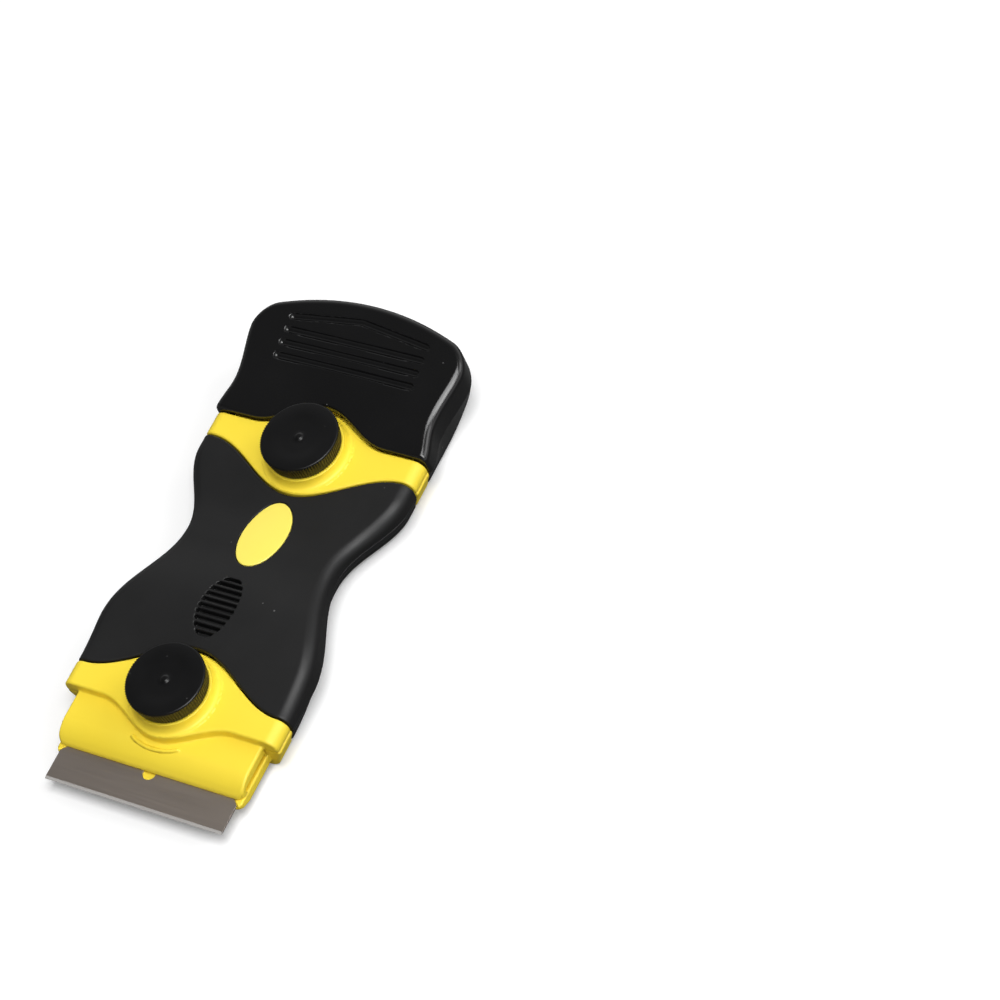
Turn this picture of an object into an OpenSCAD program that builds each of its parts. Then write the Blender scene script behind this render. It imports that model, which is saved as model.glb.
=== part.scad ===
// Double-ended razor blade scraper with clamp knobs and a slide-on blade cap.
// Y runs along the tool, the bare blade at -Y and the cap at +Y; the rest face is at Z = 0.

/* [Layout] */
// Distance between the two knob axes
knob_spacing = 60; // [58:0.2:64]
// Height of the collars above the rest face
end_height = 10; // [9.6:0.1:11]
// Height of the seam between the two handle covers
seam_height = 5.6; // [5.5:0.1:6]

/* [Handle covers] */
// Half width of the handle at its shoulders and collars
shoulder_half = 25.8; // [25.2:0.1:28]
// Half width of the handle at its waist
waist_half = 18.6; // [17.6:0.1:19.4]
// Place of the waist, from the middle of the tool
waist_y = 6; // [4:0.5:7]
// Length of the taper from the waist to the front shoulder
waist_front_span = 25.5; // [24:0.5:26]
// Length of the taper from the waist to the rear shoulder
waist_rear_span = 19.5; // [18:0.5:22]
// Rise of the palm hump above the collars
hump_height = 2.3; // [1:0.1:3]
// Place of the top of the hump, from the middle of the tool
hump_y = -11; // [-12:0.5:-9]
// Length of the hump towards the front
hump_front_span = 17; // [14:0.5:18]
// Length of the hump towards the rear
hump_rear_span = 20; // [18:0.5:22]
// Depth of the dip in front of the rear collar
dip_depth = 0.9; // [0.2:0.1:1.2]
// Place of the bottom of the dip, from the middle of the tool
dip_y = 15; // [13:0.5:16]
// Length of the dip to each side
dip_span = 10; // [8:0.5:11]
// Wall thickness of the covers
cover_wall = 1.8; // [1.6:0.1:2.2]
// Rounding of the top edge
edge_round = 2.4; // [1.5:0.1:2.6]
// Rounding of the bottom edge
base_round = 3.2; // [2:0.1:3.4]
// Side draft from the seam to the bottom
side_draft = 1.3; // [0.5:0.1:1.5]
// Extra side draft beside the hump
hump_draft = 1.2; // [0:0.1:1.2]
// Fall of the top surface from its middle line to its edge, at the middle of the tool
top_crown = 0.5; // [0.2:0.1:0.7]

/* [Oval inlay and grip slots] */
// Distance of the oval inlay from the rear knob axis
inlay_place = 20.7; // [20.2:0.1:21.5]
// Length of the oval inlay
inlay_length = 16.6; // [14:0.2:17.4]
// Width of the oval inlay
inlay_width = 10; // [7:0.2:10.4]
// Thickness of the oval inlay
inlay_thick = 1; // [0.8:0.1:1.2]
// Distance of the middle of the slot field from the front knob axis
slots_place = 20.2; // [19.6:0.1:20.6]
// Length of the slot field
slots_length = 14.6; // [12:0.2:14.8]
// Width of the slot field at its middle
slots_width = 8.4; // [7:0.2:10]
// Number of slots in the field
slot_count = 10; // [6:1:10]
// Width of one slot
slot_width = 0.9; // [0.6:0.05:0.95]
// Depth of the slots below the surface
slot_depth = 1.3; // [0.6:0.1:1.3]

/* [Collars and jaws] */
// Reach of the collar ring from the knob axis
ring_reach = 10.1; // [9.8:0.1:10.4]
// Edge of the collar arms on the handle side, from the knob axis
arm_in = 1.2; // [0.5:0.1:1.5]
// Edge of the collar arms on the blade side, from the knob axis
arm_out = 4.4; // [4.3:0.1:5]
// Half length of the wave on the handle side
wave_in_span = 23.6; // [22:0.2:25]
// Half length of the wave on the blade side
wave_out_span = 16; // [14:0.5:18]
// Thickness of the clamp plate at the collar
plate_thick = 3.3; // [2.9:0.1:3.5]
// Step down from the collar to the top of the jaw
jaw_step = 2.2; // [2:0.1:2.5]
// Half width of the jaws
jaw_half = 22.5; // [22.3:0.1:23]
// Reach of the upper jaw from the knob axis
lip_reach = 15.5; // [15.2:0.1:16]
// Reach of the lower jaw from the knob axis
lower_reach = 17.1; // [16.8:0.1:17.3]
// Thickness of the upper jaw at its lip
lip_thick = 0.8; // [0.6:0.1:1.2]
// Length of the slope down to the lip
lip_slope = 2.8; // [2.2:0.1:3]
// Height of the groove along the side of the upper jaw
side_groove_height = 1.3; // [0.8:0.1:1.6]
// Depth of that groove
side_groove_depth = 0.8; // [0.4:0.1:1]
// Reach of the raised thumb arc from the knob axis
thumb_arc_reach = 12.2; // [11.8:0.1:12.4]
// Width of the thumb arc
thumb_arc_width = 0.7; // [0.5:0.1:0.9]
// Height of the thumb arc above the jaw
thumb_arc_height = 0.4; // [0.2:0.1:0.4]

/* [Blades] */
// Width of a blade
blade_width = 43; // [40:0.5:43]
// Depth of a blade from its cutting edge to its back
blade_depth = 15.4; // [15.2:0.1:15.8]
// Thickness of a blade
blade_thick = 0.4; // [0.3:0.05:0.5]
// Underside of a blade above the rest face
blade_level = 4; // [3.8:0.1:4.2]
// Reach of the cutting edge from the knob axis
edge_reach = 23.3; // [23.1:0.1:23.5]
// Width of the ground bevel
blade_bevel = 0.6; // [0.4:0.1:1.4]
// Radius of the hole in the middle of a blade
blade_hole_radius = 1.5; // [1.2:0.1:2]
// Depth of the wide part of a blade behind its cutting edge
blade_head_depth = 6.7; // [6.5:0.1:6.9]
// Narrowing of a blade on each side behind its wide part
blade_narrowing = 1.8; // [1.4:0.1:2]
// Cut across the back corners of a blade
blade_corner = 0.8; // [0.4:0.1:1.5]

/* [Knobs and clamp screws] */
// Radius of the knob disc at its top
knob_radius = 8.6; // [8:0.1:9]
// Height of the knob disc
knob_disc_height = 3.9; // [3.5:0.1:4.5]
// Height of the neck between the collar and the disc
knob_neck_height = 2.2; // [2:0.1:3]
// Radius of the neck
knob_neck_radius = 5.6; // [5:0.1:6]
// Radius of the raised seat under the disc, at its top
knob_seat_radius = 8.5; // [8.2:0.1:8.7]
// Radius of the raised seat at its foot
knob_seat_foot = 9.8; // [9.3:0.1:9.8]
// Draft of the disc's side, top wider than base
knob_draft = 0.45; // [0.1:0.05:0.5]
// Depth of the dish in the knob's top
knob_dish_depth = 0.35; // [0.3:0.05:0.7]
// Width of the flat rim round the dish
knob_rim = 3.1; // [2.5:0.1:3.4]
// Number of knurl grooves round the knob
knurl_count = 90; // [40:2:90]
// Depth of one knurl groove
knurl_depth = 0.2; // [0.16:0.02:0.24]
// Radius of the clamp screw
screw_radius = 1.95; // [1.8:0.05:2]
// Thread pitch of the clamp screw
screw_pitch = 0.7; // [0.5:0.1:0.7]
// Turns from clamped to open
screw_turns = 2; // [1:1:2]
// Width across the flats of the screw head and the nut
hex_flats = 7; // [6.6:0.1:7.2]
// Height of the screw head inside the knob
screw_head_height = 2; // [1.6:0.1:2.2]
// Height of the nut
nut_height = 3.2; // [2.8:0.1:3.6]
// Height of the nut's underside above the rest face
nut_level = 0.8; // [0.6:0.1:1]

/* [Cap] */
// Reach of the cap's end from the knob axis
cap_reach = 34.5; // [34.3:0.1:36]
// Half width of the cap at its mouth
cap_mouth_half = 26.2; // [25.2:0.1:26.4]
// Half width of the cap at its neck
cap_neck_half = 24.7; // [24.5:0.1:25.5]
// Half width of the cap where it flares
cap_flare_half = 26.3; // [26:0.1:27.5]
// Distance of the cap's narrowest place from the knob axis
cap_neck_y = 13; // [11:0.5:15]
// Distance of the cap's widest place from the knob axis
cap_flare_y = 25.5; // [24.5:0.1:26.5]
// Wall of the cap
cap_wall = 1.6; // [1.4:0.1:1.8]
// Rise of the cap's top from its mouth to its end
cap_rise = 5.6; // [4:0.1:6]
// Rise of the cap's underside towards its end
cap_keel_rise = 4; // [0:0.2:4]
// Rounding of the cap's upper edges
cap_round = 1.8; // [1.4:0.1:2.8]
// Rounding of the cap's lower edges
cap_base_round = 1.8; // [1.2:0.1:1.8]
// Draft of the cap's lower side at its neck
cap_draft = 0.8; // [0.4:0.1:0.8]
// Number of grip grooves across the cap
cap_groove_count = 4; // [2:1:4]
// Distance of the first grip groove from the knob axis
cap_groove_y = 18.9; // [18:0.1:19.4]
// Spacing of the grip grooves
cap_groove_pitch = 3; // [2.6:0.1:3.1]
// Half length of a grip groove
cap_groove_half = 16.6; // [14:0.2:18]
// Width of a grip groove
cap_groove_width = 1.5; // [0.8:0.1:1.6]
// Depth of a grip groove
cap_groove_depth = 0.7; // [0.4:0.1:0.9]
// Bend of the outermost groove towards the cap's end
cap_groove_bend = 2; // [0:0.1:2.4]
// Room that a blade can slide out inside the cap
cap_blade_room = 5.6; // [5.4:0.1:5.8]

/* [Cover screws] */
// Distance of the cover screws from the middle line
cover_screw_x = 11; // [10.5:0.1:11.5]
// Distance of the front pair from the front knob axis
cover_screw_front = 17; // [16.6:0.1:18]
// Distance of the rear pair from the rear knob axis
cover_screw_rear = 16; // [15.6:0.1:17]
// Radius of a cover screw
cover_screw_radius = 1.25; // [1:0.05:1.4]
// Radius of a cover screw's head
cover_head_radius = 2.4; // [2:0.1:2.6]
// Height of a cover screw's head
cover_head_height = 1.1; // [0.9:0.1:1.2]
// Radius of the boss round a cover screw
cover_boss_radius = 2.7; // [2.4:0.1:2.8]
// Length of a cover screw under its head
cover_screw_length = 5.6; // [4.5:0.1:6]

/* [Core] */
// Half width of the spine inside the handle
spine_half = 14.4; // [14.2:0.1:14.6]
// Thickness of the spine
spine_thick = 2.8; // [2.4:0.1:3]
// Height of the pads that carry the spine
spine_pad_height = 0.8; // [0.6:0.1:1]

/* [Clearances] */
// Gap between a clamp plate and the pieces round it
plate_gap = 0.3; // [0.2:0.05:0.35]
// Gap above, below and beside a blade
blade_slip = 0.05; // [0.03:0.01:0.08]
// Gap between a screw and its nut
screw_slip = 0.05; // [0.03:0.01:0.08]
// Gap round pieces that are seated in a pocket
seat_gap = 0.1; // [0.05:0.01:0.15]
// Gap between the cap and what it covers
cap_gap = 0.4; // [0.3:0.05:0.5]

/* [Hidden] */

handle_colour = "#26272a";
cap_colour = "#1a1a1c";
knob_colour = "#151516";
clamp_colour = "#fbd928";
inlay_colour = "#fbe63c";
blade_colour = "#8d8883";
steel_colour = "#b9bcc0";

// Overrun of every cut past the face that it opens
overrun = 1;
// Depth by which the handle's section runs below the rest face, where it is cut flat
rest_cut = 0.4;
// Rounding inside the hollow of the covers
hollow_round = 0.8;
// Roundings of the jaws, the cap's inside and the rails
jaw_corner = 1.8;
cap_inner_corner = 3;
knob_edge = 0.35;
// Land left on the cutting edge
edge_land = 0.06;
// Pip in the middle of the knob's dish
pip_radius = 0.9;
pip_height = 0.25;

knob_y = knob_spacing / 2;
inlay_y = knob_y - inlay_place;
slots_y = slots_place - knob_y;
plate_low = end_height - plate_thick;
block_top = plate_low - plate_gap;
jaw_top = end_height - jaw_step;
blade_top = blade_level + blade_thick;
blade_back = edge_reach - blade_depth;
blade_half = blade_width / 2;
clamp_lift = screw_turns * screw_pitch;
jaw_floor = cap_wall + cap_gap;
cap_roof = jaw_top + clamp_lift + cap_gap;
cap_mouth = arm_out + plate_gap;
cap_cavity_half = jaw_half + cap_gap;
cap_cavity_end = edge_reach + cap_blade_room;
cap_keel_y = lower_reach - lip_slope;
knob_base = end_height + blade_slip;
disc_low = knob_base + knob_neck_height;
disc_top = disc_low + knob_disc_height;
spine_low = cover_wall + spine_pad_height;
nut_top = nut_level + nut_height;
region_half = max(shoulder_half, cap_flare_half) + 2 * overrun;
cover_screw_places = [
    for (side = [-1, 1], y = [cover_screw_front - knob_y, knob_y - cover_screw_rear])
        [side * cover_screw_x, y]
];

// Steps of the lofted surfaces and of the wave outlines
handle_steps = 24;
wave_steps = 32;
arc_steps = 8;
// Places of the cap's sections from mouth to end, as shares of its reach
cap_section_shares = [
    0.1, 0.24, 0.34, 0.44, 0.54, 0.64, 0.71, 0.77, 0.82, 0.86, 0.9, 0.925, 0.95, 0.97, 0.985, 0.995
];
// Roundness of the cap's end: powers of the curve from the flare to the end
cap_end_powers = [2.7, 1.6];

// Smooth fall from 1 at the middle to 0 at a distance of 1
function bell(t) = abs(t) >= 1 ? 0 : (1 + cos(180 * t)) / 2;

// Shape of the handle along its length
function half_width(y) =
    shoulder_half - (shoulder_half - waist_half)
        * bell((y - waist_y) / (y < waist_y ? waist_front_span : waist_rear_span));
function top_height(y) =
    end_height + hump_height * bell((y - hump_y) / (y < hump_y ? hump_front_span : hump_rear_span))
        - dip_depth * bell((y - dip_y) / dip_span);
function crown_at(y) = top_crown * bell(y / knob_y);
function draft_at(y) =
    side_draft + hump_draft * bell((y - hump_y) / (y < hump_y ? hump_front_span : hump_rear_span));

// Wavy edges of a collar, as distances from the knob axis
function wave_in(x) = arm_in + (ring_reach - arm_in) * bell(x / wave_in_span);
function wave_out(x) = arm_out + (ring_reach - arm_out) * bell(x / wave_out_span);
function wave_x(i) = region_half * (2 * i / wave_steps - 1);

// Right half of a rounded section, from its top middle to its bottom middle, widest above a level
function half_section(half, top, crown, level, low, top_round, low_round, draft) = concat(
    [[0, top], [(half - top_round) / 2, top - crown / 4]],
    [for (a = [90:-30:0])
        [half - top_round + top_round * cos(a), top - crown - top_round + top_round * sin(a)]],
    [[half, level]],
    [for (a = [0:-45:-90])
        [half - draft - low_round + low_round * cos(a), low + low_round + low_round * sin(a)]],
    [[0, low]]
);

// Whole section at one place along the length
function section(y, half, top, crown, level, low, top_round, low_round, draft) =
    let (
        right = half_section(half, top, crown, level, low, top_round, low_round, draft),
        last = len(right) - 1
    )
    concat(
        [for (p = right) [p.x, y, p.y]],
        [for (i = [last - 1:-1:1]) [-right[i].x, y, right[i].y]]
    );

// Plan of a blade, grown by a gap, from its back to a reach: a wide part and a narrower tail
function blade_plan(gap, reach) =
    let (
        half = blade_half + gap,
        tail = half - blade_narrowing,
        back = blade_back - gap,
        shoulder = edge_reach - blade_head_depth - gap,
        right = [
            [half, -reach], [half, -shoulder], [tail, -shoulder + blade_narrowing],
            [tail, -back - blade_corner], [tail - blade_corner, -back]
        ],
        last = len(right) - 1
    )
    concat(right, [for (i = [last:-1:0]) [-right[i].x, right[i].y]]);

// Half width, top, underside and draft of the cap at a distance from the knob axis;
// the draft takes the lower sides back to the width of the neck
function cap_half(s) =
    s <= cap_neck_y
        ? cap_neck_half + (cap_mouth_half - cap_neck_half)
            * bell(max(0, s - cap_mouth) / (cap_neck_y - cap_mouth))
        : s <= cap_flare_y
        ? cap_flare_half - (cap_flare_half - cap_neck_half)
            * bell((s - cap_neck_y) / (cap_flare_y - cap_neck_y))
        : cap_flare_half * pow(1 - pow((s - cap_flare_y) / (cap_reach - cap_flare_y), cap_end_powers[0]),
            1 / cap_end_powers[1]);
function cap_end_fall(s) =
    let (into = max(0, s - cap_reach + cap_round))
    cap_round - sqrt(max(0, cap_round * cap_round - into * into));
function cap_height(s) = cap_roof + cap_wall + cap_rise * (s - cap_mouth) / (cap_reach - cap_mouth);
function cap_tail_share(s) = pow(max(0, s - cap_keel_y) / (cap_reach - cap_keel_y), 2);
function cap_low(s) = cap_keel_rise * cap_tail_share(s);
function cap_draft_at(s) = cap_draft + max(0, cap_half(min(s, cap_flare_y)) - cap_neck_half);

// Closed solid through a list of sections that run towards +Y
module loft(sections) {
    count = len(sections[0]);
    last = len(sections) - 1;
    near_end = [for (j = [0:count - 1]) j];
    far_end = [for (j = [count - 1:-1:0]) last * count + j];
    sides = [
        for (i = [0:last - 1], j = [0:count - 1])
            let (k = (j + 1) % count, a = i * count, b = a + count)
            each [[a + j, b + j, b + k], [a + j, b + k, a + k]]
    ];
    polyhedron(points = [for (ring = sections) each ring], faces = concat([near_end, far_end], sides));
}

// Outer body of the handle between two places, its top lowered by a drop
module handle_body(y_from, y_to, steps, drop = 0) {
    loft([
        for (i = [0:steps])
            let (y = y_from + (y_to - y_from) * i / steps)
            section(y, half_width(y), top_height(y) - drop, crown_at(y), seam_height, -rest_cut,
                edge_round, base_round, draft_at(y))
    ]);
}

// Hollow of the handle
module handle_hollow() {
    loft([
        for (i = [0:handle_steps / 2])
            let (y = knob_y * (4 * i / handle_steps - 1))
            section(y, half_width(y) - cover_wall, top_height(y) - cover_wall, crown_at(y), seam_height,
                cover_wall, hollow_round, hollow_round, draft_at(y))
    ]);
}

// Straight piece of the handle's body at a collar, about its knob axis
module collar_body() {
    loft([
        for (y = [-2 * ring_reach, 2 * ring_reach])
            section(y, shoulder_half, end_height, 0, seam_height, -rest_cut,
                edge_round, base_round, side_draft)
    ]);
}

// Upright block between the two collars, clear of both clamp plates
module between_collars(z_from, z_to) {
    edge = [for (i = [0:wave_steps]) [wave_x(i), wave_in(wave_x(i)) + plate_gap - knob_y]];
    translate([0, 0, z_from])
        linear_extrude(z_to - z_from)
            polygon(concat(edge, [for (i = [wave_steps:-1:0]) [edge[i].x, -edge[i].y]]));
}

// Upright block of one collar, with a wavy or a straight edge towards the blade
module collar_block(z_from, z_to, wavy) {
    inner = [for (i = [wave_steps:-1:0]) [wave_x(i), wave_in(wave_x(i))]];
    outer = [for (i = [0:wave_steps]) [wave_x(i), wavy ? -wave_out(wave_x(i)) : -arm_out]];
    translate([0, 0, z_from])
        linear_extrude(z_to - z_from)
            polygon(concat(inner, outer));
}

// Side view (Y, Z) extruded across the tool
module across(half, side_view) {
    translate([-half, 0, 0])
        rotate([90, 0, 90])
            linear_extrude(2 * half)
                polygon(side_view);
}

// Upright block that rounds the front corners of a jaw
module jaw_plan(reach) {
    arc = [for (i = [0:arc_steps]) let (a = 90 * i / arc_steps) jaw_corner * [1 - cos(a), 1 - sin(a)]];
    translate([0, 0, -overrun])
        linear_extrude(end_height + overrun)
            polygon(concat(
                [[jaw_half, 0]],
                [for (i = [0:arc_steps]) [jaw_half - arc[i].x, -reach + arc[i].y]],
                [for (i = [arc_steps:-1:0]) [arc[i].x - jaw_half, -reach + arc[i].y]],
                [[-jaw_half, 0]]
            ));
}

module hexagon(flats, height) {
    cylinder(r = flats / 2 / cos(30), h = height, $fn = 6);
}

// Places of the two ends
module at_front() {
    translate([0, -knob_y, 0])
        children();
}

module at_rear() {
    translate([0, knob_y, 0])
        rotate([0, 0, 180])
            children();
}

module oval(length, width, height) {
    points = [
        for (i = [0:wave_steps * 2 - 1])
            let (a = 180 * i / wave_steps)
            [width * cos(a), length * sin(a)] / 2
    ];
    linear_extrude(height)
        polygon(points);
}

// Cross slots of an oval field, down to the floor that they leave
module grip_slots() {
    pitch = slots_length / slot_count;
    span = slots_length / 2 + overrun;
    difference() {
        for (i = [0:slot_count - 1]) {
            offset_y = pitch * (i + 0.5) - slots_length / 2;
            half = slots_width / 2 * sqrt(1 - pow(2 * offset_y / slots_length, 2));
            translate([-half, slots_y + offset_y - slot_width / 2, seam_height])
                cube([2 * half, slot_width, end_height + hump_height]);
        }
        handle_body(slots_y - span, slots_y + span, arc_steps, slot_depth);
    }
}

module top_cover() {
    color(handle_colour)
        difference() {
            union() {
                difference() {
                    intersection() {
                        handle_body(-knob_y, knob_y, handle_steps);
                        between_collars(seam_height, end_height + hump_height + overrun);
                    }
                    handle_hollow();
                }
                for (p = cover_screw_places)
                    translate([p.x, p.y, spine_low])
                        cylinder(r = cover_boss_radius,
                            h = top_height(p.y) - cover_wall / 2 - spine_low, $fn = 48);
            }
            grip_slots();
            inlay_pocket();
            for (p = cover_screw_places)
                translate([p.x, p.y, 0])
                    cylinder(r = cover_screw_radius + screw_slip,
                        h = cover_head_height + cover_screw_length + seat_gap + seat_gap, $fn = 32);
        }
}

// Piece of the handle's body under the inlay, its top lowered by a drop
module inlay_seat(drop) {
    span = inlay_length / 2 + overrun;
    handle_body(inlay_y - span, inlay_y + span, arc_steps, drop);
}

// Upright oval at the inlay's place
module inlay_column(gap) {
    translate([0, inlay_y, seam_height])
        oval(inlay_length + 2 * gap, inlay_width + 2 * gap, end_height + hump_height);
}

// Space for the inlay above the floor of its pocket
module inlay_pocket() {
    difference() {
        inlay_column(seat_gap);
        inlay_seat(inlay_thick);
    }
}

module oval_inlay() {
    color(inlay_colour)
        difference() {
            intersection() {
                inlay_seat(0);
                inlay_column(0);
            }
            inlay_seat(inlay_thick);
        }
}

module bottom_cover() {
    color(handle_colour)
        difference() {
            union() {
                difference() {
                    intersection() {
                        handle_body(-knob_y, knob_y, handle_steps);
                        between_collars(0, seam_height);
                    }
                    handle_hollow();
                }
                for (p = cover_screw_places)
                    translate([p.x, p.y, 0])
                        cylinder(r = cover_boss_radius + cover_wall, h = spine_low, $fn = 48);
            }
            for (p = cover_screw_places) {
                translate([p.x, p.y, -overrun])
                    cylinder(r = cover_screw_radius + seat_gap, h = spine_low + 2 * overrun, $fn = 32);
                translate([p.x, p.y, -overrun])
                    cylinder(r = cover_head_radius + seat_gap,
                        h = cover_head_height + seat_gap + overrun, $fn = 48);
            }
        }
}

module cover_screws() {
    color(steel_colour)
        for (p = cover_screw_places)
            translate([p.x, p.y, seat_gap])
                union() {
                    cylinder(r = cover_head_radius, h = cover_head_height, $fn = 48);
                    cylinder(r = cover_screw_radius, h = cover_head_height + cover_screw_length, $fn = 32);
                }
}

// One end of the core: the collar's lower half, the lower jaw and the nut's pocket
module core_end() {
    jaw_deck = blade_level - blade_slip;
    difference() {
        union() {
            intersection() {
                collar_body();
                collar_block(0, block_top, false);
            }
            intersection() {
                across(jaw_half, [
                    [0, jaw_floor], [-cap_keel_y, jaw_floor], [-lower_reach, jaw_deck - lip_thick],
                    [-lower_reach, blade_top], [0, blade_top]
                ]);
                jaw_plan(lower_reach);
            }
        }
        translate([0, 0, jaw_deck])
            linear_extrude(blade_top)
                polygon(blade_plan(seat_gap, edge_reach));
        translate([0, 0, -overrun])
            hexagon(hex_flats + 2 * seat_gap, nut_top + overrun);
        cylinder(r = screw_radius + plate_gap, h = end_height, $fn = 48);
    }
}

module core_frame() {
    spine_reach = knob_y - arm_in;
    color(clamp_colour)
        union() {
            at_front()
                core_end();
            at_rear()
                core_end();
            difference() {
                translate([-spine_half, -spine_reach + hex_flats, spine_low])
                    cube([2 * spine_half, 2 * (spine_reach - hex_flats), spine_thick]);
                for (p = cover_screw_places)
                    translate([p.x, p.y, spine_low - overrun])
                        cylinder(r = cover_boss_radius + seat_gap, h = spine_thick + 2 * overrun, $fn = 48);
            }
        }
}

module clamp_nut() {
    color(steel_colour)
        translate([0, 0, nut_level])
            difference() {
                hexagon(hex_flats, nut_height);
                translate([0, 0, -overrun])
                    cylinder(r = screw_radius + screw_slip, h = nut_height + 2 * overrun, $fn = 48);
            }
}

module clamp_plate() {
    under = blade_top + blade_slip;
    groove_end = lip_reach - lip_slope + side_groove_height / 2;
    color(clamp_colour)
        difference() {
            union() {
                intersection() {
                    collar_body();
                    collar_block(plate_low, end_height + overrun, true);
                }
                intersection() {
                    across(jaw_half, [
                        [0, plate_low], [-arm_out - plate_gap, plate_low], [-arm_out - plate_gap, under],
                        [-lip_reach, under], [-lip_reach, under + lip_thick],
                        [-lip_reach + lip_slope, jaw_top], [0, jaw_top]
                    ]);
                    jaw_plan(lip_reach);
                }
                intersection() {
                    translate([0, 0, under])
                        difference() {
                            cylinder(r = thumb_arc_reach, h = jaw_top + thumb_arc_height - under, $fn = 96);
                            translate([0, 0, -overrun])
                                cylinder(r = thumb_arc_reach - thumb_arc_width, h = end_height, $fn = 96);
                        }
                    translate([-thumb_arc_reach / 2, -2 * thumb_arc_reach, under])
                        cube([thumb_arc_reach, 2 * thumb_arc_reach - ring_reach, end_height]);
                }
                knob_seat();
            }
            for (side = [-1, 1])
                translate([side * jaw_half, 0, under])
                    side_groove(groove_end);
            translate([0, 0, -overrun])
                cylinder(r = screw_radius + plate_gap, h = end_height + 2 * overrun, $fn = 48);
            translate([0, 0, end_height])
                cylinder(r = knob_neck_radius + plate_gap, h = knob_neck_height + overrun, $fn = 48);
        }
}

// Raised seat under the knob's disc, with a hollow flank that runs out into the collar
module knob_seat() {
    height = disc_low - seat_gap - end_height;
    flank = [
        for (i = [0:arc_steps])
            let (a = 90 * i / arc_steps)
            [knob_seat_foot - (knob_seat_foot - knob_seat_radius) * sin(a), height * (1 - cos(a))]
    ];
    translate([0, 0, end_height])
        rotate_extrude($fn = 96)
            polygon(concat([[0, -overrun], [knob_seat_foot, -overrun]], flank, [[0, height]]));
}

// Groove with a round front end along one side of the upper jaw
module side_groove(reach) {
    union() {
        translate([-side_groove_depth, -reach, 0])
            cube([2 * side_groove_depth, reach - arm_out - plate_gap, side_groove_height]);
        translate([-side_groove_depth, -reach, side_groove_height / 2])
            rotate([0, 90, 0])
                cylinder(r = side_groove_height / 2, h = 2 * side_groove_depth, $fn = 32);
    }
}

// Knob about its own axis, with a dished top and a knurled side
module knob() {
    base_radius = knob_radius - knob_draft;
    dish_floor = disc_top - knob_dish_depth;
    dish_radius = knob_radius - knob_rim;
    color(knob_colour)
        difference() {
            rotate_extrude($fn = 96)
                polygon([
                    [0, knob_base], [knob_neck_radius, knob_base], [knob_neck_radius, disc_low],
                    [base_radius - knob_edge, disc_low], [base_radius, disc_low + knob_edge],
                    [knob_radius, disc_top - knob_edge], [knob_radius - knob_edge, disc_top],
                    [dish_radius, disc_top], [dish_radius - knob_dish_depth, dish_floor],
                    [pip_radius, dish_floor], [pip_radius / 2, dish_floor + pip_height],
                    [0, dish_floor + pip_height]
                ]);
            for (i = [0:knurl_count - 1])
                rotate([0, 0, 360 * i / knurl_count])
                    translate([knob_radius, 0, disc_low - overrun])
                        cylinder(r = knurl_depth, h = knob_disc_height + 2 * overrun, $fn = 4);
            translate([0, 0, knob_base - overrun])
                cylinder(r = screw_radius + screw_slip, h = knob_neck_height + overrun + screw_slip,
                    $fn = 48);
            translate([0, 0, disc_low])
                hexagon(hex_flats + 2 * screw_slip, screw_head_height + 2 * screw_slip);
        }
}

module clamp_screw() {
    color(steel_colour)
        union() {
            translate([0, 0, nut_level])
                cylinder(r = screw_radius, h = disc_low + screw_slip - nut_level, $fn = 48);
            translate([0, 0, disc_low + screw_slip])
                hexagon(hex_flats, screw_head_height);
        }
}

module blade() {
    bevel_mid = blade_level + blade_thick / 2;
    side = [
        [-edge_reach, bevel_mid - edge_land / 2], [-edge_reach + blade_bevel, blade_level],
        [-blade_back, blade_level], [-blade_back, blade_top],
        [-edge_reach + blade_bevel, blade_top], [-edge_reach, bevel_mid + edge_land / 2]
    ];
    color(blade_colour)
        difference() {
            intersection() {
                across(blade_half, side);
                linear_extrude(end_height)
                    polygon(blade_plan(0, edge_reach));
            }
            translate([0, -edge_reach + blade_depth / 2, 0])
                cylinder(r = blade_hole_radius, h = end_height, $fn = 48);
        }
}

// Outer form of the cap, seen from the knob axis with its end towards +Y
module cap_body() {
    loft([
        for (share = cap_section_shares)
            let (
                s = share * cap_reach,
                top = cap_height(s) - cap_end_fall(s),
                low = cap_low(s) + cap_end_fall(s),
                level = (top - top_crown - cap_round + low + cap_base_round) / 2
            )
            section(s, cap_half(s), top, top_crown, level, low, cap_round, cap_base_round, cap_draft_at(s))
    ]);
}

// Room inside the cap for the jaws and the blade
module cap_cavity() {
    corner = [
        for (i = [0:arc_steps])
            let (a = 90 * i / arc_steps)
            [cap_cavity_half, cap_cavity_end] + cap_inner_corner * [cos(a) - 1, sin(a) - 1]
    ];
    roof_end = cap_height(cap_cavity_end) - top_crown - cap_wall;
    intersection() {
        across(cap_cavity_half, [
            [0, cap_wall], [cap_keel_y, cap_wall], [cap_cavity_end, cap_low(cap_cavity_end) + cap_wall],
            [cap_cavity_end, roof_end], [cap_mouth, cap_roof], [0, cap_roof]
        ]);
        linear_extrude(cap_height(cap_reach))
            polygon(concat(
                [[cap_cavity_half, 0]],
                corner,
                [for (i = [arc_steps:-1:0]) [-corner[i].x, corner[i].y]],
                [[-cap_cavity_half, 0]]
            ));
    }
}

// Space of the collar that the cap's mouth leaves free
module cap_mouth_cut() {
    edge = [for (i = [wave_steps:-1:0]) [wave_x(i), wave_out(wave_x(i)) + plate_gap]];
    translate([0, 0, seam_height])
        linear_extrude(2 * end_height)
            polygon(concat([[-region_half, 0], [region_half, 0]], edge));
    translate([-region_half, -overrun, -overrun])
        cube([2 * region_half, cap_mouth + overrun, seam_height + 2 * overrun]);
}

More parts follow.
